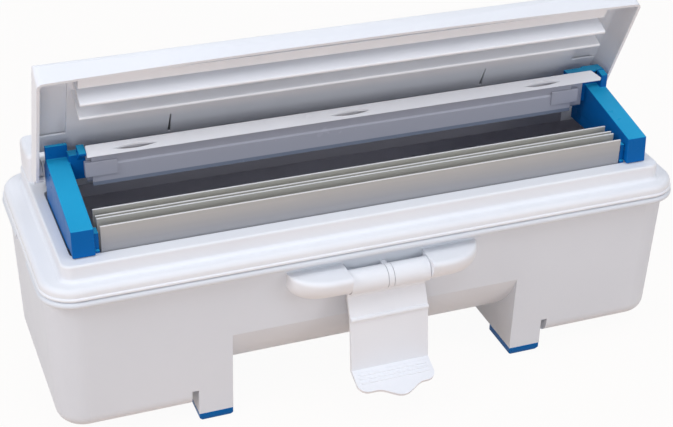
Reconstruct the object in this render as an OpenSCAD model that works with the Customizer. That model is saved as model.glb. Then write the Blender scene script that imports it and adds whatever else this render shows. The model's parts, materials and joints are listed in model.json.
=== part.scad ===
// Bench dispenser for cling film and foil rolls: a tub with a half-round trough, a stepped top frame
// with a concealed cutter, a raised film gate on two arms, a hinged lid and a front latch.
// X runs along the roll, Y from front to back, Z up. The origin is on the floor, in the middle.

/* [Tub] */
// Tub length at its underside
tub_w = 558; // [545:1:575]
// Tub depth at its underside
tub_d = 187; // [184:1:192]
// Underside of the end sections above the floor
tub_z = 15; // [12:0.5:18]
// Top edge of the tub above the floor
tub_top = 149.5; // [146:0.5:154]
// Wall thickness of the tub
wall = 3; // [2.4:0.1:3.4]
// Outward lean of the walls, per millimetre of height
draft = 0.03; // [0.02:0.005:0.035]
// Radius of the upright corners at the underside
corner_r = 24; // [20:1:28]
// Radius of the lower edge
floor_r = 14; // [10:1:16]
// Outer radius of the half-round trough
trough_r = 102; // [100:0.5:103]
// Depth of the trough axis below the tub's top edge
trough_drop = 29.9; // [28.5:0.1:30.5]
// Length of each end section, from the leg's inner face
end_w = 147; // [140:1:157]
// Width of a leg
leg_w = 30; // [24:1:34]
// Underside of the legs above the floor, the height of the foot caps
leg_z = 8; // [6:0.5:10]
// Width of the groove beside each leg
groove_w = 5.8; // [4:0.2:7]
// Height of the groove beside each leg
groove_h = 18; // [12:0.5:20]
// Length of a foot cap
foot_l = 42; // [34:1:50]

/* [Rim and deck] */
// How far the rim stands out past the tub's underside at the ends
rim_x = 8; // [7:0.5:12]
// How far the rim stands out past the tub's underside at front and back
rim_y = 12.5; // [11.5:0.5:14]
// Rim corner radius
rim_r = 30; // [26:1:34]
// Radius of the rounded rim edge
bead_r = 3; // [2.5:0.25:3.25]
// Parting gap between tub and top frame
seam = 0.5; // [0.4:0.1:0.8]
// Height of the flange that stands on the rim
flange_h = 10.5; // [9:0.5:12]
// Radius of the flange's upper edge
flange_round = 5; // [3:0.5:6]
// Height of the deck above the shelf
deck_h = 14.5; // [14:0.5:17]
// Inset of the deck from the rim at the ends
shelf_x = 19; // [17:0.5:20]
// Inset of the deck from the rim at front and back
shelf_y = 14.5; // [13.5:0.5:15]
// Radius of the hollow between shelf and deck wall
cove_r = 4; // [2:0.5:5]
// Deck corner radius
deck_r = 9; // [7:0.5:11]
// Sheet thickness of the top frame
frame_t = 2.5; // [2:0.25:2.75]
// Width of the deck beside the opening, at each end
deck_edge = 10; // [9:0.5:12]
// Depth of the deck strip in front of the opening
strip_d = 13.5; // [12.5:0.5:14]

/* [Lid] */
// Inset of the lid's ends from the deck's
lid_in = 2.5; // [2:0.25:3]
// Height of the closed lid above the channel edges
lid_clear = 8.5; // [8:0.25:10]
// Lid wall thickness
lid_t = 2.5; // [2:0.25:2.75]
// How far the front of the lid bows out in the middle
lid_bow = 4; // [2:0.5:6]
// Radius of the lid's front upper edge
lid_r = 26; // [22:1:28]
// Radius of the lid's upright front corners
lid_corner_r = 5.5; // [4:0.5:9]
// Height of the lid hinge above the deck
hinge_h = 20; // [19:0.5:21]
// Opening angle of the lid as it stands
lid_open = 66.3; // [40:0.1:85]
// Gap under the closed lid's free edge
lid_gap = 0.5; // [0.4:0.1:1]
// Radius of the lid hinge pins
lid_pin_r = 3; // [2.5:0.25:3.5]
// Height of the rear housing above the deck
cover_h = 27; // [24:0.5:28]
// Depth of the rear housing
cover_d = 41.5; // [38:0.5:46]

/* [Cutter] */
// Top edges of the channels above the deck
fin_h = 23; // [21:0.5:23.5]
// Depth of the channels below the deck, to their underside
channel_drop = 13.5; // [12:0.5:14]
// Thickness of the channel walls
fin_t = 1.5; // [1.2:0.1:1.6]
// Outer width of the front channel
front_channel_d = 14; // [13.5:0.1:14]
// Outer width of the rear channel
rear_channel_d = 12.1; // [12.1:0.1:12.5]
// Slot between the channels
slot_d = 3; // [2.9:0.1:3.4]
// Pitch of the blade teeth
tooth_p = 4; // [3:0.5:8]
// How far the blade tips stay below the channel edges
blade_hide = 2; // [1:0.5:4]

/* [Film gate] */
// Gap between an arm and the end of the opening
arm_gap = 1; // [0.6:0.1:1.5]
// Width of an arm
arm_w = 18.4; // [16:0.2:19]
// Height of an arm at its front
arm_h = 24; // [21:0.5:24]
// Height of the arm pivots above the deck
pivot_h = 12; // [11:0.5:13]
// Width of a pivot block
block_w = 3.9; // [3.5:0.1:5]
// Radius of the arm pivot pins
pivot_r = 3; // [2.5:0.25:3.5]
// Thickness of the film strips
strip_t = 1.2; // [1:0.1:1.4]
// Distance of the raised film gate from the lid hinge
gate_back = 38.1; // [36:0.1:40]
// Height of the raised film gate above the deck
gate_h = 55; // [53:0.5:56]
// Width of the hooks that hold the rear strip's lip
hook_w = 6.5; // [5:0.5:8]

/* [Latch] */
// Depth of the latch axis below the tub's top edge
latch_drop = 25; // [24:0.5:27]
// Half width of the latch flap
flap_x = 35.5; // [30:0.5:38]
// Radius of the flap knuckles
knuckle_r = 10.5; // [9.5:0.25:10.75]
// Radius of the bracket housings
capsule_r = 14.5; // [13:0.5:15]
// Length of the bracket housings
capsule_l = 49.5; // [44:0.5:54]
// Edge radius at the outer ends of the housings
capsule_round = 10; // [8:0.5:12]
// Radius of the latch pin
latch_pin_r = 2.5; // [2:0.25:3]
// Thickness of the flap
flap_t = 3; // [2.4:0.2:3.2]
// Length of the finger lip at its ends
lip_l = 24; // [18:1:28]

/* [Hidden] */
$fn = 96;
// Radial play of a turning pin, and of a pin that sits fast
play = 0.05;
snug = 0.01;
// Small overlap that makes cuts clean
eps = 1;
// Clearances: arm to pivot block, block to channels, hook to arm, lid barrel to housing, latch to tub wall
arm_play = 0.4;
channel_gap = 1.3;
hook_gap = 6.1;
barrel_gap = 1;
latch_gap = 1.7;

// Screws: radius of shank, hole and head, height of the head, room round the head
screw_r = 1.5;
screw_hole = 1.6;
screw_head_r = 3;
cutter_head_r = 2.4;
screw_head_h = 2;
head_gap = 0.3;

function wall_out(z) = draft * (z - tub_z);
trough_z = tub_top - trough_drop;
leg_x = tub_w / 2 - end_w;
leg_front = tub_d / 2 + wall_out(tub_z + floor_r);
rib_pitch = 55;
rim_w = tub_w + 2 * rim_x;
rim_d = tub_d + 2 * rim_y;

// Stepped top frame
flange_in = 2;
flange_w = rim_w - 2 * flange_in;
flange_d = rim_d - 2 * flange_in;
flange_r = rim_r - flange_in;
shelf_z = tub_top + seam + flange_h;
deck_z = shelf_z + deck_h;
deck_w = rim_w - 2 * shelf_x;
deck_d = rim_d - 2 * shelf_y;
deck_t = 3;
deck_front = -deck_d / 2;
open_w = deck_w - 2 * deck_edge;
open_front = deck_front + strip_d;

// Lid hinge axis and lid outline, as the closed lid lies
lid_h = fin_h + lid_clear;
lid_w = deck_w - 2 * lid_in;
hinge_z = deck_z + hinge_h;
lid_top = deck_z + lid_h;
lid_front = deck_front - lid_bow;
barrel_r = lid_top - hinge_z;
lid_bottom = deck_z + lid_gap;
cover_in = 0.5;
cover_front = deck_d / 2 - cover_in - cover_d;
hinge_y = cover_front - barrel_r - barrel_gap;
open_rear = hinge_y - 3;
ear_x = lid_w / 2 - 14.5;
ear_w = 6;
ear_r = 7.5;

// Arms and pivots, from the ends of the opening inwards
arm_x = open_w / 2 - arm_gap - arm_w;
block_x = arm_x - arm_play - block_w;
pivot_y = open_front + 6;
pivot_z = deck_z + pivot_h;

// Cutter
channel_w = 2 * (block_x - channel_gap);
fin_top = deck_z + fin_h;
channel_z = deck_z - channel_drop;
channel_y0 = open_front + 1.2;
slot_y = channel_y0 + front_channel_d;
rear_channel_y = slot_y + slot_d;
channel_floor = 2.5;
bed_t = 4.5;
blade_low = channel_z + 6.5;
blade_t = 1;
holder_h = 18;
holder_gap = 0.25;
cutter_screw_x = channel_w / 2 - 13;

// Lid insert
rail_tip = channel_z + channel_floor + 4;
liner_z = fin_top + 1.5;
liner_w = 2 * arm_x - 5;
panel_in = lid_top - lid_t;

// Film gate, as it stands raised
gate_y = hinge_y - gate_back;
gate_top = deck_z + gate_h;
gate_x = arm_x - hook_gap - hook_w;
rear_low = deck_z + 21;
lip_drop = 8;
lip_fold = 1.5;
fold_drop = 5.5;
front_low = deck_z + 18.5;
front_step = deck_z + 36;
front_drop = 9.5;
step_d = 1;
step_h = 1.5;

// Screws of the rear housing
cover_screw_in = 38;
cover_screw_mid = 80;
cover_screw_l = 16;
cover_screws_at = [for (x = [deck_w / 2 - cover_screw_in, cover_screw_mid], s = [-1, 1]) s * x];
cover_screw_y = cover_front + 20;
cover_head_z = deck_z - deck_t - screw_head_h;

// Latch axis, just clear of the tub wall
latch_z = tub_top - latch_drop;
latch_wall = tub_d / 2 + wall_out(latch_z + 16);
latch_y = -(latch_wall + latch_gap + knuckle_r);
latch_screw_x = flap_x + 26.5;
latch_screw_z = latch_z - 5;
latch_head_y = wall + head_gap - tub_d / 2 - wall_out(latch_screw_z);
latch_screw_in = 6;
latch_pin_l = flap_x + 24;
lip_tilt = 21;
flap_path = [[1, -5], [2, -16], [-6.5, -33.5], [-12.5, -82.5]];
tongue_l = 9;
lip_front = latch_y + flap_path[3][0] - (lip_l + tongue_l) * cos(lip_tilt) - flap_t / 2 * sin(lip_tilt);

// Rear hinge of the top frame
top_axis_y = rim_d / 2 + 5.5;
top_axis_z = tub_top + 0.7;
lug_x = 150;
lug_r = 4.5;
top_pin_r = 2;

// Depth position of the middle of the whole, so that the origin lies under it
mid_y = (lip_front + top_axis_y + lug_r) / 2;

white = [0.94, 0.94, 0.96];
blue = [0.06, 0.45, 0.75];
grey = [0.66, 0.66, 0.67];
clear = [0.78, 0.8, 0.88, 0.6];
steel = [0.7, 0.71, 0.73];

// Moves the model from the tub's own middle to the middle of the whole
module placed() {
    translate([0, -mid_y, 0]) children();
}

// Mirrors a left-hand piece to the right, or leaves it
module side(s) {
    mirror([s > 0 ? 0 : 1, 0, 0]) children();
}

// Rectangle with round corners
module round_rect(w, d, r) {
    square([w - 2 * r, d], center = true);
    square([w, d - 2 * r], center = true);
    for (x = [-1, 1], y = [-1, 1]) {
        translate([x * (w / 2 - r), y * (d / 2 - r)]) circle(r);
    }
}

// Carries a radial profile round a rectangle of half sides cx and cy
module round_sweep(cx, cy) {
    for (x = [0, 1], y = [0, 1]) {
        mirror([x, 0, 0]) mirror([0, y, 0]) translate([cx, cy, 0]) rotate_extrude(angle = 90) children();
    }
    for (y = [0, 1]) {
        mirror([0, y, 0]) translate([-cx, cy, 0]) rotate([90, 0, 90]) linear_extrude(2 * cx) children();
    }
    for (x = [0, 1]) {
        mirror([x, 0, 0]) translate([cx, cy, 0]) rotate([90, 0, 0]) linear_extrude(2 * cy) children();
    }
}

// Quarter disc of a rounded edge, with a margin that joins it to its neighbours
module quarter(r) {
    intersection() {
        circle(r);
        translate([-eps, -eps]) square(r + eps);
    }
}

// Extrudes a profile drawn in Y and Z along X, from x0 to x1
module along_x(x0, x1) {
    translate([x0, 0, 0]) rotate([90, 0, 90]) linear_extrude(x1 - x0) children();
}

// Cylinder along X
module rod_x(r, x0, x1) {
    translate([x0, 0, 0]) rotate([0, 90, 0]) cylinder(r = r, h = x1 - x0);
}

// Outline of a bent sheet: a path given half its thickness to each side
function unit(v) = v / norm(v);
function normal(v) = [-v[1], v[0]];
function joint(p, i) =
    let (a = normal(unit(p[max(i, 1)] - p[max(i, 1) - 1])),
         b = normal(unit(p[min(i, len(p) - 2) + 1] - p[min(i, len(p) - 2)])),
         m = unit(a + b))
    m / (m * a);
function sheet(p, t) = concat(
    [for (i = [0 : len(p) - 1]) p[i] + joint(p, i) * t / 2],
    [for (i = [len(p) - 1 : -1 : 0]) p[i] - joint(p, i) * t / 2]);

// Half section of the tub, inset from the outside; the radius grows with height
module tub_profile(inset, top) {
    r0 = corner_r - inset;
    rf = floor_r - inset;
    z0 = tub_z + inset;
    rim_out = r0 + wall_out(z0 + rf);
    polygon([[0, z0], [rim_out - rf, z0], [rim_out - rf, z0 + rf], [rim_out, z0 + rf],
        [r0 + wall_out(top), top], [0, top]]);
    translate([rim_out - rf, z0 + rf]) circle(rf);
}

module tub_box(inset, top) {
    cx = tub_w / 2 - corner_r;
    cy = tub_d / 2 - corner_r;
    round_sweep(cx, cy) intersection() {
        tub_profile(inset, top);
        square([corner_r * 3, top + eps]);
    }
    translate([-cx, -cy, tub_z + inset]) cube([2 * cx, 2 * cy, top - tub_z - inset]);
}

module trough(r, x) {
    translate([0, 0, trough_z]) rod_x(r, -x, x);
}

// Space under the trough, between the legs
module under_trough() {
    difference() {
        translate([-leg_x, -tub_d, -eps]) cube([2 * leg_x, 2 * tub_d, trough_z + eps]);
        trough(trough_r, leg_x + eps);
    }
}

module tub_cavity() {
    reach = leg_x + wall;
    intersection() {
        tub_box(wall, tub_top + eps);
        union() {
            trough(trough_r - wall, reach + eps);
            translate([-reach - eps, -tub_d, trough_z]) cube([2 * reach + 2 * eps, 2 * tub_d, tub_top]);
            for (s = [0, 1]) {
                mirror([s, 0, 0]) translate([reach, -tub_d, 0]) cube([tub_w, 2 * tub_d, 2 * tub_top]);
            }
        }
    }
}

// Groove along the outer side of each leg
module leg_grooves(o) {
    for (s = [0, 1]) {
        mirror([s, 0, 0]) translate([leg_x + leg_w - o, -tub_d, -eps])
            cube([groove_w + 2 * o, 2 * tub_d, tub_z + groove_h + o + eps]);
    }
}

module trough_rib(x) {
    intersection() {
        difference() {
            translate([0, 0, trough_z]) rod_x(trough_r - wall + eps, x - 1, x + 1);
            translate([0, 0, trough_z]) rod_x(trough_r - wall - 2.5, x - 2, x + 2);
        }
        translate([x - 2, 30, 0]) cube([4, trough_r, trough_z + 2]);
        tub_box(wall / 2, tub_top);
    }
}

module lower_tub() {
    ribs = floor((leg_x - 20) / rib_pitch);
    notch_y = -30;
    notch_l = 45;
    notch_d = 3.4;
    color(white) placed() difference() {
        union() {
            difference() {
                union() {
                    tub_box(0, tub_top);
                    round_sweep(rim_w / 2 - rim_r, rim_d / 2 - rim_r) {
                        translate([rim_r - 17, tub_top - bead_r]) square([17 - bead_r, bead_r]);
                        translate([rim_r - bead_r, tub_top - bead_r]) circle(bead_r);
                    }
                    for (s = [0, 1]) {
                        mirror([s, 0, 0]) translate([leg_x, -leg_front, leg_z])
                            cube([leg_w, 2 * leg_front, tub_z + floor_r - leg_z + 6]);
                    }
                    for (x = [-lug_x, lug_x]) {
                        translate([0, top_axis_y, top_axis_z]) rod_x(lug_r, x - 7, x + 7);
                        translate([x - 7, rim_d / 2 - 4, tub_top - 6]) cube([14, 9.5, 6]);
                    }
                }
                under_trough();
                difference() {
                    tub_cavity();
                    leg_grooves(wall);
                }
                leg_grooves(0);
                for (s = [0, 1]) {
                    mirror([s, 0, 0]) translate([leg_x + wall, -leg_front + wall, leg_z + wall])
                        cube([leg_w - 2 * wall, 2 * (leg_front - wall), tub_z + floor_r - leg_z + 6]);
                }
            }
            for (i = [-ribs : ribs]) {
                trough_rib(i * rib_pitch);
            }
        }
        for (x = [-lug_x, lug_x]) {
            translate([0, top_axis_y, top_axis_z]) rod_x(top_pin_r + snug, x - 8, x + 8);
        }
        translate([-rim_w / 2 - eps, notch_y, tub_top - 2 * bead_r - eps])
            cube([notch_d + eps, notch_l, 2 * bead_r + 2 * eps]);
        for (x = [-1, 1], y = [-1, 1]) {
            translate([x * (leg_x + leg_w / 2), y * (leg_front - foot_l / 2), 0])
                cylinder(r = 4 + snug, h = 20);
        }
        for (x = [-latch_screw_x, latch_screw_x]) {
            translate([x, latch_y, latch_screw_z]) rotate([-90, 0, 0])
                cylinder(r = screw_hole, h = latch_head_y - latch_y);
            translate([x, latch_head_y - head_gap / 2, latch_screw_z]) rotate([-90, 0, 0])
                cylinder(r = screw_head_r + head_gap, h = tub_d / 4);
        }
    }
}

// Foot cap with bevelled lower edges and a peg
module foot(sx, sy) {
    x1 = leg_x + leg_w;
    color(blue) placed() mirror([sx, 0, 0]) mirror([0, sy, 0]) {
        intersection() {
            along_x(leg_x, x1) polygon([[-leg_front + 1.5, 0], [-leg_front + foot_l, 0],
                [-leg_front + foot_l, leg_z], [-leg_front, leg_z], [-leg_front, 3]]);
            rotate([90, 0, 0]) linear_extrude(2 * leg_front) polygon([[leg_x + 2, 0], [x1 - 2.5, 0],
                [x1, 3], [x1, leg_z], [leg_x, leg_z], [leg_x, 2]]);
        }
        translate([leg_x + leg_w / 2, -leg_front + foot_l / 2, leg_z - eps]) cylinder(r = 4, h = 5 + eps);
    }
}
module foot_front_left() { foot(1, 0); }
module foot_front_right() { foot(0, 0); }
module foot_rear_left() { foot(1, 1); }
module foot_rear_right() { foot(0, 1); }

// Rounded housing of the latch bracket: a thick rod with a blunt, rounded outer end
module capsule() {
    translate([flap_x + 0.5, 0, 0]) rotate([0, 90, 0]) rotate_extrude() {
        square([capsule_r, capsule_l - capsule_round]);
        square([capsule_r - capsule_round, capsule_l]);
        translate([capsule_r - capsule_round, capsule_l - capsule_round]) intersection() {
            circle(capsule_round);
            square(capsule_round);
        }
    }
}

module latch_bracket() {
    lift = 1.5;
    flat = capsule_r - 1.5;
    back = 16;
    color(white) placed() difference() {
        translate([0, latch_y, latch_z]) difference() {
            union() {
                for (s = [0, 1]) {
                    mirror([s, 0, 0]) translate([0, 0, lift]) difference() {
                        union() {
                            capsule();
                            translate([flap_x + 0.5, 0, 3 - capsule_r]) cube([30, back, capsule_r + 6]);
                        }
                        translate([0, -2 * capsule_r, flat]) cube([120, 4 * capsule_r, 10]);
                    }
                }
                rod_x(knuckle_r, -2.4, 2.4);
                translate([-2.4, 0, -8]) cube([4.8, back, 16]);
                translate([-flap_x - 2, knuckle_r + 0.5, -10]) cube([2 * flap_x + 4, 4, 12]);
            }
            rod_x(latch_pin_r + snug, -latch_pin_l - 0.5, latch_pin_l + 0.5);
            for (x = [-latch_screw_x, latch_screw_x]) {
                translate([x, latch_screw_in, latch_screw_z - latch_z]) rotate([-90, 0, 0])
                    cylinder(r = screw_r + snug, h = latch_head_y - latch_y);
            }
        }
        along_x(-150, 150) polygon([for (z = [90, 160]) [-tub_d / 2 - wall_out(z), z], [0, 160], [0, 90]]);
    }
}

module latch_pin() {
    color(steel) placed() translate([0, latch_y, latch_z]) rod_x(latch_pin_r, -latch_pin_l, latch_pin_l);
}

module latch_screws() {
    tip_y = latch_y + latch_screw_in + head_gap;
    color(steel) placed() for (x = [-latch_screw_x, latch_screw_x]) {
        translate([x, latch_head_y, latch_screw_z]) rotate([-90, 0, 0])
            cylinder(r = screw_head_r, h = screw_head_h);
        translate([x, tip_y, latch_screw_z]) rotate([-90, 0, 0])
            cylinder(r = screw_r, h = latch_head_y - tip_y + eps);
    }
}

// Plan of the finger lip: straight sides, round corners and a cosine-shaped tongue near the middle
module lip_plan() {
    round = 9;
    reach = 22;
    middle = 2;
    translate([-flap_x, 0]) square([2 * flap_x, lip_l - round]);
    translate([-flap_x + round, 0]) square([2 * (flap_x - round), lip_l]);
    for (x = [-1, 1]) {
        translate([x * (flap_x - round), lip_l - round]) circle(round);
    }
    polygon(concat([[middle + reach, lip_l - round], [middle - reach, lip_l - round]],
        [for (i = [-12 : 12]) [middle + i / 12 * reach, lip_l + tongue_l * (1 + cos(i * 15)) / 2]]));
}

module latch_flap() {
    tip = flap_path[3];
    ridge = flap_path[2];
    lip_root = 4 * [-cos(lip_tilt), -sin(lip_tilt)];
    lip_t = flap_t - 0.4;
    color(white) placed() translate([0, latch_y, latch_z]) difference() {
        union() {
            for (s = [0, 1]) {
                mirror([s, 0, 0]) rod_x(knuckle_r, 2.9, flap_x);
            }
            difference() {
                along_x(-flap_x, flap_x) polygon(sheet(concat(flap_path, [tip + lip_root]), flap_t));
                rod_x(knuckle_r + 0.5, -2.7, 2.7);
            }
            translate([0, ridge[0] - 1, ridge[1]]) rod_x(2.2, -flap_x, flap_x);
            translate([0, tip[0], tip[1]]) rotate([lip_tilt, 0, 0]) mirror([0, 1, 0]) {
                translate([0, 0, -lip_t / 2]) linear_extrude(lip_t) intersection() {
                    lip_plan();
                    translate([-flap_x, 2]) square([2 * flap_x, 2 * lip_l]);
                }
                for (y = [7, 11, 15]) {
                    translate([0, y, lip_t / 2 - 0.2]) rod_x(0.9, -flap_x + 4, flap_x - 4);
                }
            }
        }
        rod_x(latch_pin_r + play, -flap_x - eps, flap_x + eps);
    }
}

module top_hinge_pins() {
    color(steel) placed() for (x = [-lug_x, lug_x]) {
        translate([0, top_axis_y, top_axis_z]) rod_x(top_pin_r, x - 18, x + 18);
    }
}

// Stepped frame: flange on the rim, shelf, hollow, upright deck wall and deck with its opening
module top_frame() {
    open_d = open_rear - open_front;
    open_mid = (open_front + open_rear) / 2;
    open_r = 6;
    edge = 2;
    shelf_in = 2 * flange_round;
    color(white) placed() difference() {
        union() {
            round_sweep(flange_w / 2 - flange_r, flange_d / 2 - flange_r) {
                translate([flange_r - frame_t, tub_top + seam]) square([frame_t, flange_h - flange_round]);
                translate([flange_r - flange_round, shelf_z - flange_round]) quarter(flange_round);
                translate([flange_r - flange_round - edge, shelf_z - deck_t]) square([edge, deck_t]);
                translate([flange_r - 0.4, tub_top + seam + 1.6]) circle(1.6);
            }
            translate([0, 0, shelf_z - deck_t]) linear_extrude(deck_t) difference() {
                round_rect(flange_w - shelf_in, flange_d - shelf_in, flange_r - flange_round);
                round_rect(deck_w - 2 * frame_t, deck_d - 2 * frame_t, deck_r - frame_t);
            }
            round_sweep(deck_w / 2 - deck_r, deck_d / 2 - deck_r) {
                translate([deck_r - frame_t, shelf_z - deck_t]) square([frame_t, deck_h + deck_t - edge]);
                translate([0, deck_z - deck_t]) square([deck_r - edge, deck_t]);
                translate([deck_r - edge, deck_z - edge]) quarter(edge);
                translate([deck_r, shelf_z]) difference() {
                    translate([-eps, -eps]) square(cove_r + eps);
                    translate([cove_r - 0.15, cove_r - 0.15]) circle(cove_r);
                }
            }
            translate([deck_r - deck_w / 2, deck_r - deck_d / 2, deck_z - deck_t])
                cube([deck_w - 2 * deck_r, deck_d - 2 * deck_r, deck_t]);
            translate([-channel_w / 2, open_front - 5, channel_z]) cube([channel_w, 5, channel_drop - 1]);
            translate([0, open_mid, deck_z - 12]) linear_extrude(10) difference() {
                round_rect(open_w + 2 * frame_t, open_d + 2 * frame_t, open_r + frame_t);
                round_rect(open_w, open_d, open_r);
            }
            for (x = [-lug_x, lug_x], s = [-1, 1]) {
                translate([0, top_axis_y, top_axis_z]) rod_x(lug_r, x + s * 12.5 - 5, x + s * 12.5 + 5);
                translate([x + s * 12.5 - 5, flange_d / 2 - 2, top_axis_z + 0.5]) cube([10, 7.5, 4]);
            }
        }
        translate([0, open_mid, deck_z - 20]) linear_extrude(40) round_rect(open_w, open_d, open_r);
        for (x = [-lug_x, lug_x]) {
            translate([0, top_axis_y, top_axis_z]) rod_x(top_pin_r + play, x - 20, x + 20);
        }
        for (i = [-2 : 2]) {
            translate([i * cutter_screw_x / 2, open_front - 2.5, channel_z - eps])
                cylinder(r = screw_r + snug, h = 8);
        }
        for (x = cover_screws_at) {
            translate([x, cover_screw_y, cover_head_z]) cylinder(r = screw_hole, h = cover_screw_l);
        }
    }
}

// Raised housing behind the lid, hollow underneath, with two ears that carry the lid
module hinge_cover() {
    w = deck_w - 6 * cover_in;
    r = 7;
    round = 5;
    color(white) placed() difference() {
        union() {
            translate([0, cover_front + cover_d / 2, 0]) difference() {
                union() {
                    round_sweep(w / 2 - r, cover_d / 2 - r) {
                        translate([0, deck_z]) square([r, cover_h - round]);
                        translate([0, deck_z + cover_h - round]) square([r - round, round]);
                        translate([r - round, deck_z + cover_h - round]) quarter(round);
                    }
                    translate([r - w / 2, r - cover_d / 2, deck_z])
                        cube([w - 2 * r, cover_d - 2 * r, cover_h]);
                }
                translate([0, 0, deck_z - eps]) linear_extrude(cover_h - 2.5 + eps)
                    round_rect(w - 5, cover_d - 5, r - 2.5);
            }
            for (x = cover_screws_at) {
                translate([x, cover_screw_y, deck_z]) cylinder(r = 4, h = cover_h - 2);
            }
            for (s = [0, 1]) {
                mirror([s, 0, 0]) translate([0, hinge_y, hinge_z]) {
                    rod_x(ear_r, ear_x, ear_x + ear_w);
                    translate([ear_x, 0, -ear_r]) cube([ear_w, barrel_r + 2, 2 * ear_r - 1]);
                }
            }
        }
        translate([0, hinge_y, hinge_z]) rod_x(lid_pin_r + snug, -lid_w, lid_w);
        for (x = cover_screws_at) {
            translate([x, cover_screw_y, deck_z - eps]) cylinder(r = screw_r + snug, h = cover_screw_l - 1);
        }
    }
}

module cover_screws() {
    color(steel) placed() for (x = cover_screws_at) {
        translate([x, cover_screw_y, cover_head_z]) {
            cylinder(r = screw_head_r, h = screw_head_h);
            translate([0, 0, eps]) cylinder(r = screw_r, h = cover_screw_l);
        }
    }
}

module lid_pin(s) {
    color(steel) placed() side(s) translate([0, hinge_y, hinge_z])
        rod_x(lid_pin_r, ear_x - 0.5, lid_w / 2 - 1.4);
}
module lid_pin_left() { lid_pin(-1); }
module lid_pin_right() { lid_pin(1); }

// Lid outline from the side: free edge, round front and round hinge end
module lid_section(o) {
    low = o > 0 ? lid_bottom - eps : lid_bottom;
    front = lid_front + o;
    mid = lid_front + lid_r;
    polygon(o > 0 ? [[mid, low], [hinge_y, low], [hinge_y, lid_top - o], [mid, lid_top - o]]
        : [[mid, low], [hinge_y - 7, low], [hinge_y, hinge_z - barrel_r], [hinge_y, lid_top],
            [mid, lid_top]]);
    translate([front, low]) square([lid_r - o, lid_top - lid_r - low]);
    intersection() {
        translate([mid, lid_top - lid_r]) circle(lid_r - o);
        translate([front, lid_top - lid_r]) square([lid_r, lid_r]);
    }
    translate([hinge_y, hinge_z]) circle(barrel_r - o);
}

// Lid outline from above, with its bowed front
module lid_plan(o) {
    half = lid_w / 2;
    bow_r = (pow(half, 2) + pow(lid_bow, 2)) / (2 * lid_bow);
    corner_y = lid_front + lid_bow + lid_corner_r;
    intersection() {
        translate([0, lid_front + bow_r]) circle(bow_r - o, $fn = 6000);
        union() {
            translate([-half + o, corner_y]) square([lid_w - 2 * o, 300]);
            translate([lid_corner_r - half, lid_front - eps]) square([lid_w - 2 * lid_corner_r, 100]);
            for (x = [-1, 1]) {
                translate([x * (half - lid_corner_r), corner_y]) circle(lid_corner_r - o);
            }
        }
    }
}

// Lid outline from the front, leaning in slightly, with round upper edges
module lid_face(o) {
    r = 8 - o;
    half = lid_w / 2 - o;
    lean = 1;
    z1 = lid_top - 8;
    polygon([[-half, lid_bottom - eps], [half, lid_bottom - eps], [half - lean, z1],
        [half - lean - r, lid_top - o], [lean + r - half, lid_top - o], [lean - half, z1]]);
    for (x = [-1, 1]) {
        translate([x * (half - lean - r), z1]) circle(r);
    }
}

module lid_solid(o) {
    intersection() {
        along_x(-lid_w, lid_w) lid_section(o);
        linear_extrude(3 * deck_z) lid_plan(o);
        translate([0, 150, 0]) rotate([90, 0, 0]) linear_extrude(300) lid_face(o);
    }
}

// Turns the closed lid to the angle it stands at
module lid_raised() {
    translate([0, hinge_y, hinge_z]) rotate([-lid_open, 0, 0]) translate([0, -hinge_y, -hinge_z])
        children();
}

module lid_shell() {
    boss = ear_x + ear_w + 0.5;
    color(white) placed() lid_raised() difference() {
        union() {
            difference() {
                lid_solid(0);
                lid_solid(lid_t);
                for (s = [0, 1]) {
                    mirror([s, 0, 0]) translate([ear_x - 1.5, hinge_y - 10.5, hinge_z - 20])
                        cube([boss - ear_x + 1.5, 30, 40]);
                }
            }
            for (s = [0, 1]) {
                mirror([s, 0, 0]) translate([0, hinge_y, hinge_z])
                    rod_x(ear_r, boss, lid_w / 2 - lid_t + 0.5);
            }
        }
        for (s = [0, 1]) {
            mirror([s, 0, 0]) translate([0, hinge_y, hinge_z])
                rod_x(lid_pin_r + play, boss - eps, lid_w / 2 - 1.2);
        }
    }
}

// Press rail of the lid insert, hanging at depth y, with bevelled tip
module press_rail(y, t) {
    bevel = 1;
    polygon([[y - t / 2, liner_z + eps], [y - t / 2, rail_tip + bevel], [y - t / 2 + bevel, rail_tip],
        [y + t / 2 - bevel, rail_tip], [y + t / 2, rail_tip + bevel], [y + t / 2, liner_z + eps]]);
}

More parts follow.
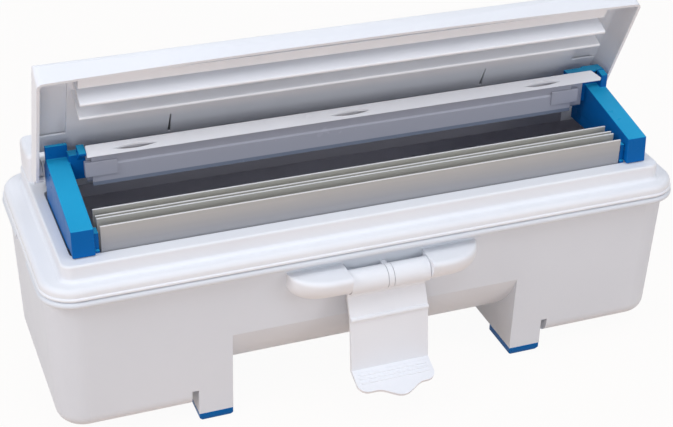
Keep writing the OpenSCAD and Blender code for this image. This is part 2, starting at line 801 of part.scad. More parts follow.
// Insert inside the lid: plate with two tapering slits and end tabs, hollow front beam and two press rails
module lid_liner() {
    half = liner_w / 2;
    rail_half = half - 3;
    plate_t = 2;
    beam_0 = deck_front + 2.7;
    beam_1 = open_front - 0.2;
    liner_rear = hinge_y - 17;
    tab_x = lid_w / 2 - lid_t - 3;
    tab_d = 16;
    slit_x = 147;
    slit_l = 22;
    color(white) placed() lid_raised() difference() {
        union() {
            translate([-half, beam_1 - 2, liner_z]) cube([liner_w, liner_rear - beam_1 + 2, plate_t]);
            translate([-tab_x, liner_rear - tab_d - 3, liner_z]) cube([2 * tab_x, tab_d, plate_t]);
            for (x = [-half, half - 2]) {
                translate([x, beam_1 + 8, liner_z]) cube([2, liner_rear - beam_1 - 8, panel_in - liner_z]);
            }
            translate([-half, liner_rear - 2, liner_z]) cube([liner_w, 2, panel_in - liner_z]);
            along_x(-rail_half, rail_half) difference() {
                polygon([[beam_0, deck_z + 2.5], [beam_1, deck_z + 2.5], [beam_1, liner_z + plate_t],
                    [beam_0 + 8.4, liner_z + 1], [beam_0, deck_z + 12]]);
                polygon([[beam_0 + 2, deck_z + 4.5], [beam_1 - 2, deck_z + 4.5],
                    [beam_1 - 2, liner_z - 1.5], [beam_0 + 2, deck_z + 11]]);
            }
            along_x(-rail_half, rail_half) press_rail(channel_y0 + 8.3, 3.5);
            along_x(-rail_half, rail_half) press_rail(rear_channel_y + 7.6, 3);
        }
        for (x = [-slit_x, slit_x]) {
            translate([x, liner_rear - 2.5, liner_z - eps]) linear_extrude(plate_t + 2 * eps)
                polygon([[-1.3, 0], [1.2, 0], [0.4, -slit_l], [-0.4, -slit_l]]);
        }
    }
}

module cutter_bed() {
    color(white) placed() difference() {
        translate([-channel_w / 2, open_front - 5, channel_z - bed_t])
            cube([channel_w, rear_channel_y + rear_channel_d - open_front + 8.7, bed_t]);
        for (i = [-2 : 2]) {
            translate([i * cutter_screw_x / 2, open_front - 2.5, 0]) cylinder(r = screw_hole, h = deck_z);
        }
    }
}

module cutter_screws() {
    color(steel) placed() for (i = [-2 : 2]) {
        translate([i * cutter_screw_x / 2, open_front - 2.5, channel_z - bed_t - screw_head_h]) {
            cylinder(r = cutter_head_r, h = screw_head_h);
            translate([0, 0, eps]) cylinder(r = screw_r, h = bed_t + 8);
        }
    }
}

module channel(y0, d) {
    color(grey) placed() along_x(-channel_w / 2, channel_w / 2) translate([y0, channel_z]) {
        square([d, channel_floor]);
        square([fin_t, fin_top - channel_z]);
        translate([d - fin_t, 0]) square([fin_t, fin_top - channel_z]);
    }
}
module front_channel() { channel(channel_y0, front_channel_d); }
module rear_channel() { channel(rear_channel_y, rear_channel_d); }

module blade_holder() {
    color(grey) placed() along_x(3 - channel_w / 2, channel_w / 2 - 3) difference() {
        translate([slot_y + holder_gap, channel_z]) square([slot_d - 2 * holder_gap, holder_h]);
        translate([slot_y + (slot_d - blade_t) / 2 - snug, blade_low]) square([blade_t + 2 * snug, holder_h]);
    }
}

module blade() {
    teeth = floor((channel_w - 10) / tooth_p);
    half = teeth * tooth_p / 2;
    tip = fin_top - blade_hide;
    color(steel) placed() translate([0, (2 * slot_y + slot_d + blade_t) / 2, 0]) rotate([90, 0, 0])
        linear_extrude(blade_t)
            polygon(concat([[half, blade_low], [-half, blade_low]],
                [for (i = [0 : 2 * teeth]) [-half + i * tooth_p / 2, tip - (i % 2 == 0 ? 3 : 0)]]));
}

module pivot_block(s) {
    z0 = channel_z + 2;
    color(blue) placed() side(s) difference() {
        union() {
            translate([block_x, pivot_y - 3.5, z0]) cube([block_w, 9.5, pivot_z + 5 - z0]);
            translate([block_x, open_front + 0.3, z0]) cube([block_w, 4, channel_drop]);
        }
        translate([0, pivot_y, pivot_z]) rod_x(pivot_r + snug, 0, 2 * block_x);
    }
}
module pivot_block_left() { pivot_block(-1); }
module pivot_block_right() { pivot_block(1); }

module pivot_pin(s) {
    color(steel) placed() side(s) translate([0, pivot_y, pivot_z]) rod_x(pivot_r, block_x, arm_x + 11);
}
module pivot_pin_left() { pivot_pin(-1); }
module pivot_pin_right() { pivot_pin(1); }

// Arm seen from the side, raised: a bar that rises to the rear and ends in an upright
module arm_side() {
    f = open_front - 4;
    upright = gate_y + 11;
    top = gate_top - 1.5;
    shoulder = deck_z + arm_h;
    polygon([[f, deck_z + 0.6], [f + 2, shoulder], [upright, shoulder + 18], [upright, top],
        [upright + 4, top], [upright + 4, shoulder + 16], [upright + 12, shoulder + 8],
        [upright + 12, deck_z + 11.5]]);
}

// Hook that leans forward over the strips; its foot stands at depth low
module hook_side(low) {
    tip = gate_y - 4.5;
    polygon([[tip, gate_top - 4], [gate_y + 5, gate_top - 1.5], [gate_y + 8, gate_top - 1.5],
        [gate_y + 8, deck_z + 26], [low, deck_z + 26], [low, gate_top - 13], [tip, gate_top - 6]]);
}

// Arm with its cross bar and hook: the left hook stands beside its arm, the right one at its outer face
module arm(s) {
    outer = arm_x + arm_w;
    hook_x = s < 0 ? gate_x : outer - hook_w;
    hook_low = s < 0 ? gate_y + 3.2 : gate_y - 4.5;
    bar_end = s < 0 ? arm_x + eps : outer;
    bar_low = deck_z + 24;
    bar_top = s < 0 ? gate_top - 8 : gate_top - 1.5;
    color(blue) placed() side(s) difference() {
        union() {
            along_x(arm_x, outer) arm_side();
            along_x(gate_x - 6, bar_end) translate([gate_y + 3, bar_low]) square([10, bar_top - bar_low]);
            along_x(hook_x, hook_x + hook_w) hook_side(hook_low);
        }
        translate([0, pivot_y, pivot_z]) rod_x(pivot_r + play, arm_x - eps, arm_x + 12);
    }
}
module arm_left() { arm(-1); }
module arm_right() { arm(1); }

// Lens-shaped outline between two arcs
module lens(l, w) {
    r = (pow(l, 2) + pow(w, 2)) / (4 * w);
    intersection() {
        translate([0, r - w / 2]) circle(r, $fn = 400);
        translate([0, w / 2 - r]) circle(r, $fn = 400);
    }
}

// Rear film strip: upright sheet whose folded lip leans forward, with three lens-shaped slits; the lip runs
// on over the right arm and ends in a point at its hook
module gate_rear_strip() {
    y = gate_y + 3 - strip_t / 2;
    sheet_end = arm_x - 3.6;
    lip_end = arm_x + arm_w - hook_w - 0.5;
    point_z = gate_top - 6;
    color(clear) placed() difference() {
        along_x(-gate_x, lip_end) polygon(sheet([[y, rear_low], [y, gate_top - fold_drop],
            [y - lip_fold, gate_top - 1], [y - lip_drop, gate_top - lip_drop]], strip_t));
        translate([sheet_end, y - 2, deck_z]) cube([lip_end, 4, gate_h - 10]);
        translate([lip_end, y + 5, point_z]) rotate([90, 0, 0]) linear_extrude(20) {
            polygon([[-11, 8], [0, 0], [eps, 0], [eps, 8]]);
            polygon([[-5, -6], [0, 0], [eps, 0], [eps, -6]]);
        }
        for (x = [41 - gate_x, 5, gate_x - 36]) {
            translate([x, y - 5.2, gate_top - 9]) linear_extrude(12) lens(38, 2.6);
        }
    }
}

// Front film strip: two flat bands with a small step between them
module gate_front_strip() {
    y = gate_y - strip_t / 2;
    color(clear) placed() along_x(4 - gate_x, gate_x - 4) polygon(sheet([[y - step_d, front_low],
        [y - step_d, front_step], [y, front_step + step_h], [y, gate_top - front_drop]], strip_t));
}

module gate_clip(s) {
    z0 = deck_z + 28;
    y1 = gate_y - strip_t - 1;
    color(clear) placed() side(s) {
        translate([gate_x - 25, y1 - 1.5, z0]) cube([27, 1.5, 13]);
        translate([gate_x - 3.6, y1 - eps, z0]) cube([5.6, 4 + eps, 13]);
    }
}
module gate_clip_left() { gate_clip(-1); }
module gate_clip_right() { gate_clip(1); }

lower_tub();
foot_front_left();
foot_front_right();
foot_rear_left();
foot_rear_right();
latch_bracket();
latch_pin();
latch_screws();
latch_flap();
top_hinge_pins();
top_frame();
hinge_cover();
cover_screws();
lid_pin_left();
lid_pin_right();
lid_shell();
lid_liner();
cutter_bed();
cutter_screws();
front_channel();
rear_channel();
blade_holder();
blade();
pivot_block_left();
pivot_block_right();
pivot_pin_left();
pivot_pin_right();
arm_left();
arm_right();
gate_rear_strip();
gate_front_strip();
gate_clip_left();
gate_clip_right();
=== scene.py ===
import json
import math

import bmesh
import bpy
import numpy as np
from mathutils import Matrix, Vector


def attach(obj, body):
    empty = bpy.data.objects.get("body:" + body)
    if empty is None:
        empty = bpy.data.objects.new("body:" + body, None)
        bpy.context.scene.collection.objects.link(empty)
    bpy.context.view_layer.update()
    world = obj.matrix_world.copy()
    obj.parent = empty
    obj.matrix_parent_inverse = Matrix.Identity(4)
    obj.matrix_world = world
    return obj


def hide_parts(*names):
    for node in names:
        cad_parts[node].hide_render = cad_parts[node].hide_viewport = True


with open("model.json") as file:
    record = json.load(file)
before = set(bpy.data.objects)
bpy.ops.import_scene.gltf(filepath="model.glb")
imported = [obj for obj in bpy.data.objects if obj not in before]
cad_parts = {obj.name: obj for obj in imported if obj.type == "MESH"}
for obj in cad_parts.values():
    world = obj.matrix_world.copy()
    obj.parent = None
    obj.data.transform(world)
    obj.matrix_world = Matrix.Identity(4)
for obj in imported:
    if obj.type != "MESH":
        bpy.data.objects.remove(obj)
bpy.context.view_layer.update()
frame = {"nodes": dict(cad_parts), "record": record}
print("frame loaded:", len(frame["nodes"]), "nodes")

# Places that the finishes and new forms refer to, in metres. shift leads from the tub's middle plane
# to the origin, and lean is the slope of the tub's walls.
place = {
    "shift": 0.018655, "tubHalfX": 0.279, "tubHalfY": 0.0935, "tubLow": 0.015, "lean": 0.03,
    "wallMid": 0.0015, "cornerR": 0.024, "floorR": 0.014, "troughZ": 0.1196, "troughR": 0.1005,
    "legIn": 0.1335, "grooveIn": 0.1605, "grooveOut": 0.1693, "grooveTop": 0.0345, "rim": 0.1485,
    "collarX": 0.236, "collarY": 0.05266, "collarZ": 0.1815, "collarNear": 0.0006,
    "finTop": 0.198, "lipZ": 0.2205, "hemZ": 0.1968,
}
perMetre = 1000.0  # millimetres in a metre

# Camera: place in metres, angles in degrees, lens and sensor in millimetres.
cameraSet = {
    "spot": (-0.4221, -1.04575, 0.7947), "azimuth": 21.424, "elevation": 30.375, "roll": 1.412,
    "lens": 78.98, "sensor": 36.0, "near": 0.05, "far": 30.0,
}


def makeCamera(s):
    # Looks along azimuth and elevation, turned about its own axis by the roll.
    az, el, roll = (math.radians(s[k]) for k in ("azimuth", "elevation", "roll"))
    ahead = Vector((math.sin(az) * math.cos(el), math.cos(az) * math.cos(el), -math.sin(el)))
    level = Vector((math.cos(az), -math.sin(az), 0.0))
    upright = level.cross(ahead)
    right = level * math.cos(roll) + upright * math.sin(roll)
    up = upright * math.cos(roll) - level * math.sin(roll)
    data = bpy.data.cameras.new("photoCamera")
    data.sensor_fit = "HORIZONTAL"
    data.sensor_width = s["sensor"]
    data.lens = s["lens"]
    data.clip_start, data.clip_end = s["near"], s["far"]
    camera = bpy.data.objects.new("photoCamera", data)
    pose = Matrix((right, up, -ahead)).transposed().to_4x4()
    pose.translation = Vector(s["spot"])
    camera.matrix_world = pose
    bpy.context.scene.collection.objects.link(camera)
    bpy.context.scene.camera = camera


makeCamera(cameraSet)
bpy.context.scene.view_settings.view_transform = "Standard"
print("camera set")

noiseRough = 0.55
midNoise = (0.3, 0.7)  # the range that most of a noise lies in


class Finish:
    # A material with short calls for adding and joining its nodes.
    def __init__(self, name):
        self.mat = bpy.data.materials.new(name)
        self.mat.use_nodes = True
        self.nodes = self.mat.node_tree.nodes
        self.links = self.mat.node_tree.links
        self.bsdf = self.nodes["Principled BSDF"]
        self.texture = self.nodes.new("ShaderNodeTexCoord")
        self.coord = self.texture.outputs["Object"]

    def add(self, kind, **props):
        node = self.nodes.new(kind)
        for key, value in props.items():
            setattr(node, key, value)
        return node

    def join(self, source, target):
        self.links.new(source, target)

    def feed(self, socket, source):
        self.join(source, self.bsdf.inputs[socket])

    def fix(self, socket, value):
        self.bsdf.inputs[socket].default_value = value

    def math(self, op, *values):
        node = self.add("ShaderNodeMath", operation=op)
        for i, v in enumerate(values):
            if isinstance(v, (int, float)):
                node.inputs[i].default_value = v
            else:
                self.join(v, node.inputs[i])
        return node.outputs[0]

    def length(self, a, b):
        squares = (self.math("MULTIPLY", v, v) for v in (a, b))
        return self.math("SQRT", self.math("ADD", *squares))

    def both(self, first, *others):
        for other in others:
            first = self.math("MULTIPLY", first, other)
        return first

    def noise(self, scale, detail, stretch=None):
        node = self.add("ShaderNodeTexNoise")
        node.inputs["Scale"].default_value = scale
        node.inputs["Detail"].default_value = detail
        node.inputs["Roughness"].default_value = noiseRough
        source = self.coord
        if stretch:
            mapping = self.add("ShaderNodeMapping")
            mapping.inputs["Scale"].default_value = stretch
            self.join(self.coord, mapping.inputs["Vector"])
            source = mapping.outputs[0]
        self.join(source, node.inputs["Vector"])
        return node.outputs["Fac"]

    def span(self, value, low, high, outLow=0.0, outHigh=1.0, smooth=False):
        kind = "SMOOTHSTEP" if smooth else "LINEAR"
        node = self.add("ShaderNodeMapRange", interpolation_type=kind)
        for i, v in enumerate((low, high, outLow, outHigh), start=1):
            node.inputs[i].default_value = v
        self.join(value, node.inputs[0])
        return node.outputs[0]

    def mix(self, share, a, b):
        # The node's colour sockets come after those for numbers and vectors.
        node = self.add("ShaderNodeMix", data_type="RGBA")
        self.join(share, node.inputs[0])
        for i, v in ((6, a), (7, b)):
            if isinstance(v, tuple):
                node.inputs[i].default_value = (*v, 1.0)
            else:
                self.join(v, node.inputs[i])
        return node.outputs[2]

    def axes(self, source=None):
        node = self.add("ShaderNodeSeparateXYZ")
        self.join(source or self.coord, node.inputs[0])
        return node.outputs

    def unevenGloss(self, patch, rough):
        self.feed("Roughness", self.span(self.noise(*patch), *midNoise, *rough))

    def bump(self, height, strength, distance):
        node = self.add("ShaderNodeBump")
        node.inputs["Strength"].default_value = strength
        node.inputs["Distance"].default_value = distance
        self.join(height, node.inputs["Height"])
        self.feed("Normal", node.outputs[0])


# White mouldings share one texture. Their tones are painted shade and painted light on one white plastic:
# the tub is painted darker and the lid paler than the top frame. In all finishes a noise is given as scale
# and detail, and a bump as strength and distance in metres.
mouldSet = {"cloud": (7.0, 4.0), "cloudSpan": (0.35, 0.65), "patch": (38.0, 3.0), "rough": (0.48, 0.60),
            "grain": (1500.0, 2.0), "grainBump": (0.05, 0.0002)}
tubSet = {**mouldSet, "light": (0.728, 0.76, 0.81), "shade": (0.703, 0.735, 0.785),
          "paintedWellShade": (0.62, 0.61, 0.67)}
topSet = {**mouldSet, "light": (0.83, 0.845, 0.878), "shade": (0.805, 0.82, 0.857),
          "paintedCollarShade": (0.36, 0.355, 0.40)}
lidSet = {**mouldSet, "light": (0.86, 0.875, 0.91), "shade": (0.835, 0.85, 0.89)}


def insideTub(f):
    # Within a leaning box with rounded corners and lower edge, and there in the half-round trough, above its
    # middle or in the end sections, but not in the grooves beside the legs. Painted shade darkens the tub's
    # inside there.
    x, y, z = f.axes()
    across = f.math("ABSOLUTE", x)
    yc = f.math("SUBTRACT", y, place["shift"])
    halves = ((across, place["tubHalfX"]), (f.math("ABSOLUTE", yc), place["tubHalfY"]))
    past = [f.math("MAXIMUM", f.math("SUBTRACT", v, h - place["cornerR"]), 0.0) for v, h in halves]
    rise = f.math("MULTIPLY", f.math("SUBTRACT", z, place["tubLow"]), place["lean"])
    reach = f.math("ADD", rise, place["cornerR"] - place["floorR"])
    out = f.math("SUBTRACT", f.length(*past), reach)
    under = f.math("SUBTRACT", place["tubLow"] + place["floorR"], z)
    edge = f.length(f.math("MAXIMUM", out, 0.0), f.math("MAXIMUM", under, 0.0))
    inBox = f.math("LESS_THAN", edge, place["floorR"] - place["wallMid"])
    drop = f.math("SUBTRACT", z, place["troughZ"])
    inTrough = f.math("LESS_THAN", f.length(yc, drop), place["troughR"])
    inTrough = f.math("MAXIMUM", inTrough, f.math("GREATER_THAN", drop, 0.0))
    inEnds = f.math("GREATER_THAN", across, place["legIn"])
    inGroove = f.both(f.math("GREATER_THAN", across, place["grooveIn"]),
                      f.math("LESS_THAN", across, place["grooveOut"]),
                      f.math("LESS_THAN", z, place["grooveTop"]))
    return f.both(inBox, f.math("LESS_THAN", z, place["rim"]), f.math("MAXIMUM", inTrough, inEnds),
                  f.math("SUBTRACT", 1.0, inGroove))


def rearCollar(f):
    # The rear wall of the deck opening, below the deck's edge, where painted shade darkens the white
    # plastic.
    x, y, z = f.axes()
    away = f.math("ABSOLUTE", f.math("SUBTRACT", y, place["collarY"]))
    return f.both(f.math("LESS_THAN", away, place["collarNear"]),
                  f.math("LESS_THAN", f.math("ABSOLUTE", x), place["collarX"]),
                  f.math("LESS_THAN", z, place["collarZ"]))


def whitePlastic(name, s):
    # Satin moulded plastic: faint cloudiness, uneven gloss and a fine spark-eroded grain. The tub's inside
    # and the collar above it are painted a deeper grey: painted shade.
    f = Finish(name)
    tone = f.mix(f.span(f.noise(*s["cloud"]), *s["cloudSpan"]), s["light"], s["shade"])
    if "paintedWellShade" in s:
        tone = f.mix(insideTub(f), tone, s["paintedWellShade"])
    if "paintedCollarShade" in s:
        tone = f.mix(rearCollar(f), tone, s["paintedCollarShade"])
    f.feed("Base Color", tone)
    f.unevenGloss(s["patch"], s["rough"])
    f.bump(f.noise(*s["grain"]), *s["grainBump"])
    return f.mat


# The side and top tones paint light and shade on one blue: paler where it faces up, darker on the sides.
blueSet = {"side": (0.002, 0.122, 0.40), "top": (0.02, 0.385, 0.67), "deep": (0.004, 0.10, 0.34),
           "paintedLightSpan": (0.3, 0.9), "cloud": (16.0, 3.0), "cloudShare": 0.18, "sheen": 0.08,
           "patch": (60.0, 3.0), "rough": (0.26, 0.38), "grain": (1300.0, 2.0),
           "grainBump": (0.05, 0.0002)}


def bluePlastic(name, s):
    # Blue moulded plastic, painted paler where it faces up and darker on its sides (painted light and
    # shade), slightly deeper in random patches.
    f = Finish(name)
    paintedUpLight = f.span(f.axes(f.texture.outputs["Normal"])[2], *s["paintedLightSpan"], smooth=True)
    tone = f.mix(paintedUpLight, s["side"], s["top"])
    cloud = f.span(f.noise(*s["cloud"]), *midNoise, 0.0, s["cloudShare"])
    f.feed("Base Color", f.mix(cloud, tone, s["deep"]))
    f.fix("Specular IOR Level", s["sheen"])
    f.unevenGloss(s["patch"], s["rough"])
    f.bump(f.noise(*s["grain"]), *s["grainBump"])
    return f.mat


# behind is in metres along the depth; the drops are metres below the top of the strip.
channelSet = {"grey": (0.45, 0.44, 0.425), "foot": (0.345, 0.35, 0.375), "beigeWithPaintedLight": (0.55, 0.535, 0.48),
              "edge": (0.74, 0.74, 0.74), "line": (0.25, 0.25, 0.26), "lineSpan": (0.2, 0.8),
              "lineShare": 0.16, "drawn": (260.0, 3.0), "stretch": (0.02, 1.0, 1.0),
              "drawnBump": (0.06, 0.0003), "behind": (-0.0562, -0.0560), "faceDrop": 0.003,
              "edgeDrop": (0.0007, 0.0003), "patch": (45.0, 3.0), "rough": (0.38, 0.5)}


def channelPlastic(name, s):
    # Extruded grey strip: a pale band just under the top edge, lengthwise drawing lines, darker towards the
    # foot. Behind the front wall it is beige, a tone painted brighter as painted light where shade falls
    # between the fins.
    f = Finish(name)
    y, z = f.axes()[1:]
    top = place["finTop"]
    face = f.mix(f.span(z, place["collarZ"], top - s["faceDrop"]), s["foot"], s["grey"])
    tone = f.mix(f.span(y, *s["behind"]), face, s["beigeWithPaintedLight"])
    drawn = f.noise(*s["drawn"], stretch=s["stretch"])
    tone = f.mix(f.span(drawn, *s["lineSpan"], 0.0, s["lineShare"]), tone, s["line"])
    tone = f.mix(f.span(z, *(top - d for d in s["edgeDrop"])), tone, s["edge"])
    f.feed("Base Color", tone)
    f.unevenGloss(s["patch"], s["rough"])
    f.bump(drawn, *s["drawnBump"])
    return f.mat


clearSet = {"tint": (0.50, 0.51, 0.59), "lip": (0.93, 0.94, 0.98), "paintedHemShade": (0.24, 0.28, 0.37),
            "alpha": 0.87, "lipFade": 0.002, "hemFade": 0.0006, "patch": (55.0, 3.0),
            "rough": (0.16, 0.28), "wave": (30.0, 2.0), "stretch": (0.25, 1.0, 1.0),
            "waveBump": (0.12, 0.002)}


def clearPlastic(name, s):
    # Frosted clear strip. Its folded lip is painted paler as painted light where it faces up, and its hem
    # along the lower edge is painted darker as painted shade of the dark well behind it.
    f = Finish(name)
    z = f.axes()[2]
    lip = f.span(z, place["lipZ"], place["lipZ"] + s["lipFade"])
    paintedHemShade = f.span(z, place["hemZ"], place["hemZ"] + s["hemFade"])
    f.feed("Base Color", f.mix(lip, f.mix(paintedHemShade, s["paintedHemShade"], s["tint"]), s["lip"]))
    f.fix("Alpha", s["alpha"])
    f.unevenGloss(s["patch"], s["rough"])
    f.bump(f.noise(*s["wave"], stretch=s["stretch"]), *s["waveBump"])
    return f.mat


steelSet = {"light": (0.62, 0.63, 0.65), "dark": (0.5, 0.51, 0.53), "rough": (0.25, 0.4),
            "marks": (900.0, 2.0), "stretch": (0.03, 1.0, 1.0), "marksBump": (0.1, 0.0001)}


def drawnSteel(name, s):
    # Plain steel with fine lengthwise drawing marks.
    f = Finish(name)
    f.fix("Metallic", 1.0)
    marks = f.noise(*s["marks"], stretch=s["stretch"])
    f.feed("Base Color", f.mix(f.span(marks, *midNoise), s["light"], s["dark"]))
    f.feed("Roughness", f.span(marks, *midNoise, *s["rough"]))
    f.bump(marks, *s["marksBump"])
    return f.mat


finishes = {
    "white": whitePlastic("topMoulding", topSet),
    "tub": whitePlastic("tubMoulding", tubSet),
    "lid": whitePlastic("lidMoulding", lidSet),
    "blue": bluePlastic("blueMoulding", blueSet),
    "grey": channelPlastic("channelStrip", channelSet),
    "clear": clearPlastic("clearStrip", clearSet),
    "steel": drawnSteel("plainSteel", steelSet),
}
ownFinish = {"lower_tub": "tub", "lid_shell": "lid", "lid_liner": "lid"}
slotOf = {p["node"]: p["material_slot"] for p in frame["record"]["subparts"]}
bodyOf = {n: body for body, nodes in frame["record"]["behaviour"]["bodies"].items() for n in nodes}
for node, solid in frame["nodes"].items():
    solid.data.materials.clear()
    solid.data.materials.append(finishes[ownFinish.get(node, slotOf[node])])
print("finishes assigned")

# Merging gap in metres, angles in degrees.
edgeSet = {"merge": 2e-6, "flat": 0.3, "sharp": 30.0, "segments": 3}


def meshFrom(name, points, faces):
    # A closed mesh from points in millimetres, with its faces turned outwards.
    mesh = bpy.data.meshes.new(name)
    mesh.from_pydata((points / perMetre).tolist(), [], faces)
    bm = bmesh.new()
    bm.from_mesh(mesh)
    bmesh.ops.recalc_face_normals(bm, faces=bm.faces)
    bm.to_mesh(mesh)
    bm.free()
    return mesh


def keepMiddle(bm, keepX):
    # Cuts away what lies further out than keepX either way and closes the cuts.
    for side in (-1, 1):
        everything = bm.verts[:] + bm.edges[:] + bm.faces[:]
        cut = bmesh.ops.bisect_plane(bm, geom=everything, clear_outer=True,
                                     plane_co=(side * keepX, 0, 0), plane_no=(side, 0, 0))
        rim = [e for e in cut["geom_cut"] if isinstance(e, bmesh.types.BMEdge)]
        bmesh.ops.holes_fill(bm, edges=rim)


def softened(node, radius=None, keepX=None, extra=None):
    # A merged copy of the solid with flat neighbours joined. Sharp edges are rounded by the radius, or
    # stay sharp without one. With keepX only the middle is kept; the extra mesh is added to what is there.
    mesh = frame["nodes"][node].data.copy()
    mesh.name = node + "_soft"
    for layer in [a for a in mesh.attributes if a.name == "custom_normal"]:
        mesh.attributes.remove(layer)
    bm = bmesh.new()
    bm.from_mesh(mesh)
    bmesh.ops.remove_doubles(bm, verts=bm.verts, dist=edgeSet["merge"])
    if keepX:
        keepMiddle(bm, keepX)
    flat = math.radians(edgeSet["flat"])
    bmesh.ops.dissolve_limit(bm, angle_limit=flat, verts=bm.verts, edges=bm.edges)
    if extra:
        bm.from_mesh(extra)
    bm.to_mesh(mesh)
    bm.free()
    mesh.polygons.foreach_set("use_smooth", np.ones(len(mesh.polygons), bool))
    mesh.update()
    piece = bpy.data.objects.new(node + "_soft", mesh)
    bpy.context.scene.collection.objects.link(piece)
    sharp = math.radians(edgeSet["sharp"])
    if radius:
        edge = piece.modifiers.new("edges", "BEVEL")
        edge.width = radius
        edge.segments = edgeSet["segments"]
        edge.limit_method = "ANGLE"
        edge.angle_limit = sharp
        edge.use_clamp_overlap = False
        edge.harden_normals = True
    else:
        mesh.set_sharp_from_angle(angle=sharp)
    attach(piece, bodyOf[node])
    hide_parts(node)


# Moulded pieces whose sharp edges are rounded: edge radius in metres.
softSet = {
    "pivot_block_left": 0.0005, "pivot_block_right": 0.0005,
    "foot_front_left": 0.0007, "foot_front_right": 0.0007,
    "foot_rear_left": 0.0007, "foot_rear_right": 0.0007,
    "lid_liner": 0.0005, "front_channel": 0.0003, "rear_channel": 0.0003,
    "gate_rear_strip": 0.00025, "gate_front_strip": 0.00025,
    "gate_clip_left": 0.0003, "gate_clip_right": 0.0003,
}
for node, radius in softSet.items():
    softened(node, radius)
print("edges rounded:", len(softSet))

# Skirts under the arms, in millimetres: inner and outer are across, front, foot and rear are depths
# from the tub's middle plane, the rest are heights. The arm's edge radius is in metres.
skirtSet = {"inner": 238.85, "outer": 256.75, "front": -72.0, "foot": -60.0, "rear": 21.6,
            "underFront": 177.6, "underRear": 187.5, "low": 173.0, "edge": 0.0009}


def skirtMesh(s, side):
    # A wedge: its side outline in depth and height is carried straight from the inner to the outer face.
    outline = np.array([[s["front"], s["underFront"]], [s["rear"], s["underRear"]],
                        [s["rear"], s["low"]], [s["foot"], s["low"]]])
    outline[:, 0] += perMetre * place["shift"]
    corners = len(outline)
    across = side * np.repeat([s["inner"], s["outer"]], corners)
    points = np.column_stack([across, np.tile(outline, (2, 1))])
    i = np.arange(corners)
    k = (i + 1) % corners
    walls = np.column_stack([i, k, k + corners, i + corners]).tolist()
    return meshFrom("armSkirt", points, walls + [i[::-1].tolist(), (i + corners).tolist()])


for node, side in (("arm_left", -1), ("arm_right", 1)):
    softened(node, skirtSet["edge"], extra=skirtMesh(skirtSet, side))
print("arm skirts formed")

# Latch housings, in millimetres: inner end and length across, height of the top, depth out from the wall
# and height down. bowFrom, riseFrom, endHeight and turnShare are shares; skin is the least depth and the
# gap to the wall; keepX is in metres.
housingSet = {"inner": 36.0, "length": 49.5, "top": 136.4, "depth": 26.6, "height": 24.9, "topRound": 4.0,
              "bowFrom": 0.30, "riseFrom": 0.55, "endHeight": 0.42, "turnShare": 0.45, "skin": 0.05,
              "rows": 40, "topSteps": 6, "turnSteps": 9, "underSteps": 22, "keepX": 0.0359}


def housingMesh(s):
    # One section is a flat top, a rounded front edge and a quarter ellipse that runs back under to the wall.
    # Along the housing its depth follows an elliptical bow and its height rises on a second ellipse to the
    # outer end. The other housing is its mirror image.
    quarter = np.pi / 2
    u = np.sin(np.linspace(0.0, quarter, s["rows"]))
    bow = np.clip((u - s["bowFrom"]) / (1 - s["bowFrom"]), 0, 1)
    rise = np.clip((u - s["riseFrom"]) / (1 - s["riseFrom"]), 0, 1)
    share = s["endHeight"] + (1 - s["endHeight"]) * np.sqrt(1 - rise ** 2)
    depth = (s["depth"] * np.sqrt(1 - bow ** 2) + s["skin"])[:, None]
    height = (s["height"] * share)[:, None]
    turn = np.minimum(s["topRound"], s["turnShare"] * depth)
    flat = np.linspace(0, 1, s["topSteps"])[None, :-1]
    a = np.linspace(0, quarter, s["turnSteps"])[None]
    b = np.linspace(0, quarter, s["underSteps"])[None, 1:]
    out = np.hstack([flat * (depth - turn), depth - turn + turn * np.sin(a), depth * np.cos(b)])
    down = np.hstack([0 * flat * depth, turn * (1 - np.cos(a)), turn + (height - turn) * np.sin(b)])
    z = s["top"] - down
    low = perMetre * place["tubLow"]
    wall = perMetre * place["tubHalfY"] + place["lean"] * (z - low) + s["skin"]
    x = np.broadcast_to((s["inner"] + s["length"] * u)[:, None], z.shape)
    points = np.stack([x, perMetre * place["shift"] - wall - out, z], axis=-1).reshape(-1, 3)
    rows, cols = z.shape
    i, j = np.meshgrid(np.arange(rows - 1) * cols, np.arange(cols), indexing="ij")
    k = (j + 1) % cols
    quads = np.stack([i + j, i + cols + j, i + cols + k, i + k], axis=-1).reshape(-1, 4)
    caps = np.array([np.arange(cols), np.arange(rows * cols - 1, (rows - 1) * cols - 1, -1)])
    one = quads.tolist() + caps.tolist()
    other = (quads[:, ::-1] + len(points)).tolist() + (caps[:, ::-1] + len(points)).tolist()
    return meshFrom("latchHousings", np.vstack([points, points * np.array([-1, 1, 1])]), one + other)


softened("latch_bracket", keepX=housingSet["keepX"], extra=housingMesh(housingSet))
print("latch housings formed")

# Floor in metres; each lamp has place, aim, width and power.
studioSet = {
    "floor": (0.73, 0.54, 0.41), "floorRough": 0.9, "floorHalf": 8.0, "floorGlow": 0.95,
    "sky": (0.95, 0.99, 1.08), "skyStrength": 0.33, "skySeen": (1.0, 1.0, 1.0),
    "lampColour": (0.97, 0.995, 1.045),
    "lamps": [
        ((-1.8, -0.3, 1.4), (0, 0, 0.12), 1.0, 17.0), ((-0.8, -2.05, 0.8), (0, 0, 0.2), 0.8, 9.0),
        ((0.1, -0.9, 2.2), (0, 0, 0.15), 1.2, 10.0), ((0.1, -0.2, 2.3), (0, 0, 0.15), 1.2, 4.5),
        ((1.6, -1.5, 0.9), (0, 0, 0.2), 0.8, 8.5), ((0.4, 2.1, 1.2), (0, 0, 0.15), 1.2, 8.0),
    ],
}


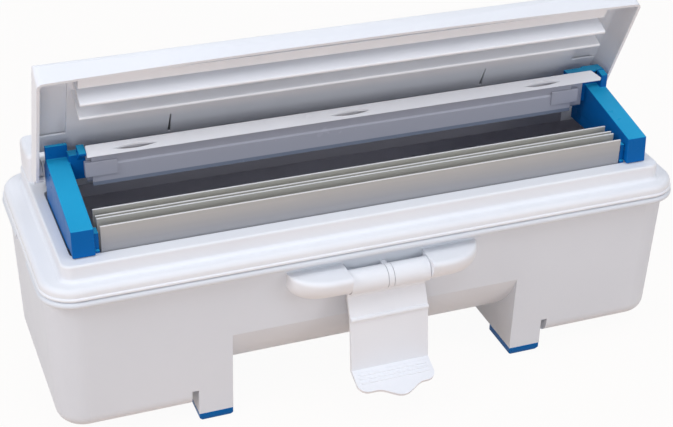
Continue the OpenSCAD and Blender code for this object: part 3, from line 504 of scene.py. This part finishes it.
def makeFloor(s):
    # One flat floor that is pale to camera, glossy and transmission rays and keeps a faint shadow.
    corners = s["floorHalf"] * np.array([[-1, -1, 0], [1, -1, 0], [1, 1, 0], [-1, 1, 0]])
    mesh = bpy.data.meshes.new("floor")
    mesh.from_pydata(corners.tolist(), [], [(0, 1, 2, 3)])
    floor = bpy.data.objects.new("floor", mesh)
    bpy.context.scene.collection.objects.link(floor)
    f = Finish("paleFloor")
    f.fix("Base Color", (*s["floor"], 1.0))
    f.fix("Roughness", s["floorRough"])
    glow = f.add("ShaderNodeEmission")
    ray = f.add("ShaderNodeLightPath").outputs
    seen = f.math("MAXIMUM", ray["Is Camera Ray"], ray["Is Glossy Ray"])
    seen = f.math("MAXIMUM", seen, ray["Is Transmission Ray"])
    blend = f.add("ShaderNodeMixShader")
    f.join(f.math("MULTIPLY", seen, s["floorGlow"]), blend.inputs[0])
    f.join(f.bsdf.outputs[0], blend.inputs[1])
    f.join(glow.outputs[0], blend.inputs[2])
    f.join(blend.outputs[0], f.nodes["Material Output"].inputs["Surface"])
    mesh.materials.append(f.mat)


def makeLamps(s):
    # Soft square lamps all round, each turned to its aim.
    for i, (spot, aim, width, power) in enumerate(s["lamps"]):
        data = bpy.data.lights.new("softLamp%d" % i, "AREA")
        data.size = width
        data.energy = power
        data.color = s["lampColour"]
        lamp = bpy.data.objects.new("softLamp%d" % i, data)
        lamp.location = spot
        lamp.rotation_mode = "QUATERNION"
        lamp.rotation_quaternion = (Vector(aim) - Vector(spot)).to_track_quat("-Z", "Y")
        bpy.context.scene.collection.objects.link(lamp)


def makeSky(s):
    # An even sky for the light; camera, glossy and transmission rays meet plain white instead.
    world = bpy.data.worlds.new("studioSky")
    bpy.context.scene.world = world
    world.use_nodes = True
    nodes = world.node_tree.nodes
    sky, seenSky = nodes["Background"], nodes.new("ShaderNodeBackground")
    sky.inputs["Color"].default_value = (*s["sky"], 1.0)
    sky.inputs["Strength"].default_value = s["skyStrength"]
    seenSky.inputs["Color"].default_value = (*s["skySeen"], 1.0)
    ray, pick = nodes.new("ShaderNodeLightPath").outputs, nodes.new("ShaderNodeMixShader")
    some, either = nodes.new("ShaderNodeMath"), nodes.new("ShaderNodeMath")
    some.operation = either.operation = "MAXIMUM"
    for source, target in (
        (ray["Is Camera Ray"], some.inputs[0]), (ray["Is Glossy Ray"], some.inputs[1]),
        (some.outputs[0], either.inputs[0]), (ray["Is Transmission Ray"], either.inputs[1]),
        (either.outputs[0], pick.inputs[0]), (sky.outputs[0], pick.inputs[1]),
        (seenSky.outputs[0], pick.inputs[2]),
        (pick.outputs[0], nodes["World Output"].inputs["Surface"]),
    ):
        world.node_tree.links.new(source, target)


makeFloor(studioSet)
makeLamps(studioSet)
makeSky(studioSet)
print("studio set")
